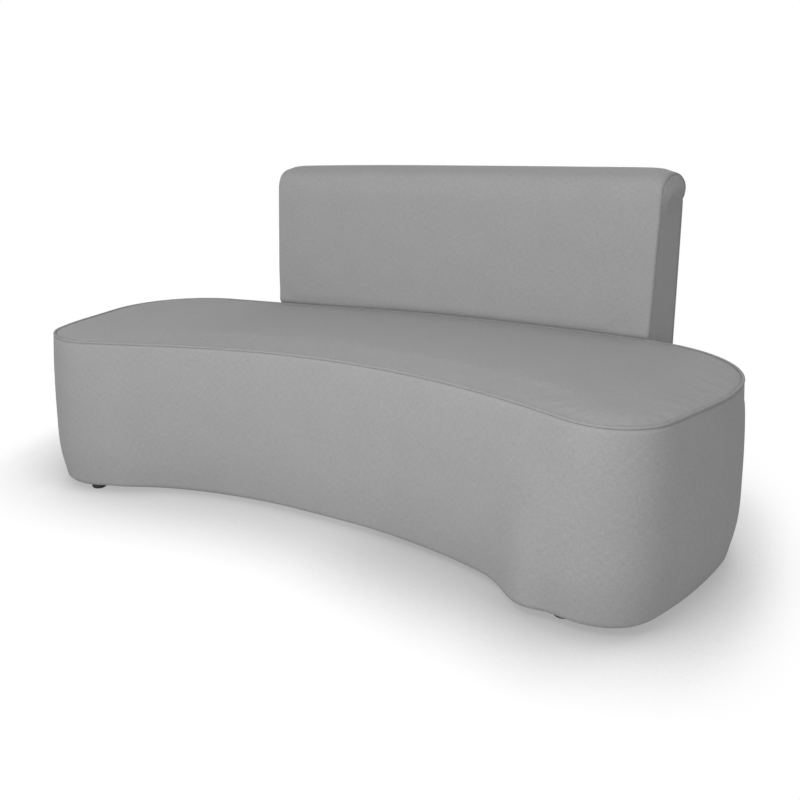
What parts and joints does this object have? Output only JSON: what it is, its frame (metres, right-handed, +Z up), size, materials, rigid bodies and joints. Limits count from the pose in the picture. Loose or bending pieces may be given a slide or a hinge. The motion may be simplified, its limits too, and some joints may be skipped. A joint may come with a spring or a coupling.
{
  "type": "curved sofa",
  "caption": "Kidney-shaped upholstered seat block with a welted top edge and low glide feet, and a curved padded backrest bolted behind it.",
  "frame": {"origin": "on the floor, under the centre of the whole sofa's bounding box", "axes": "+X along the sofa to the sitter's left (right in the picture), +Y from the hollow front towards the backrest, +Z up"},
  "size_m": [1.743, 0.9482, 0.824],
  "materials": {
    "cloth": "plain-woven neutral grey upholstery cloth",
    "foam": "open-cell foam",
    "wadding": "fibre wadding",
    "plywood": "unfinished plywood and hardboard",
    "pine": "unfinished sawn pine",
    "belt": "elastic webbing",
    "lining": "black non-woven lining",
    "glide": "black moulded plastic",
    "steel": "zinc-plated steel"
  },
  "bodies": {
    "root": {"foot_front_left": "glide", "foot_front_right": "glide", "foot_rear_left": "glide", "foot_rear_right": "glide", "foot_back_left": "glide", "foot_back_right": "glide", "foot_screws": "steel", "dust_cover": "lining", "bottom_ring_front": "plywood", "bottom_ring_rear": "plywood", "bottom_ring_left": "plywood", "bottom_ring_right": "plywood", "top_ring_front": "plywood", "top_ring_rear": "plywood", "top_ring_left": "plywood", "top_ring_right": "plywood", "front_posts": "pine", "rear_posts": "pine", "left_posts": "pine", "right_posts": "pine", "bottom_rails": "pine", "top_rails": "pine", "frame_screws": "steel", "skin_front": "plywood", "skin_left": "plywood", "skin_right": "plywood", "skin_rear": "plywood", "long_webbing": "belt", "cross_webbing": "belt", "seat_foam": "foam", "seat_topper": "wadding", "wall_foam_front": "foam", "wall_foam_left": "foam", "wall_foam_right": "foam", "wall_foam_rear": "foam", "seat_cover": "cloth", "wall_cover": "cloth", "wall_cover_rear": "cloth", "seat_welt": "cloth", "back_sole": "plywood", "back_panel": "plywood", "back_ribs": "plywood", "back_top_rail": "plywood", "back_front_board": "plywood", "back_rear_board": "plywood", "back_foam": "foam", "back_roll": "foam", "back_wadding": "wadding", "back_side_foam_left": "foam", "back_side_foam_right": "foam", "back_cover": "cloth", "back_outside_cover": "cloth", "back_gusset_left": "cloth", "back_gusset_right": "cloth", "back_bolts": "steel", "back_washers": "steel", "back_inserts": "steel"}
  },
  "joints": []
}
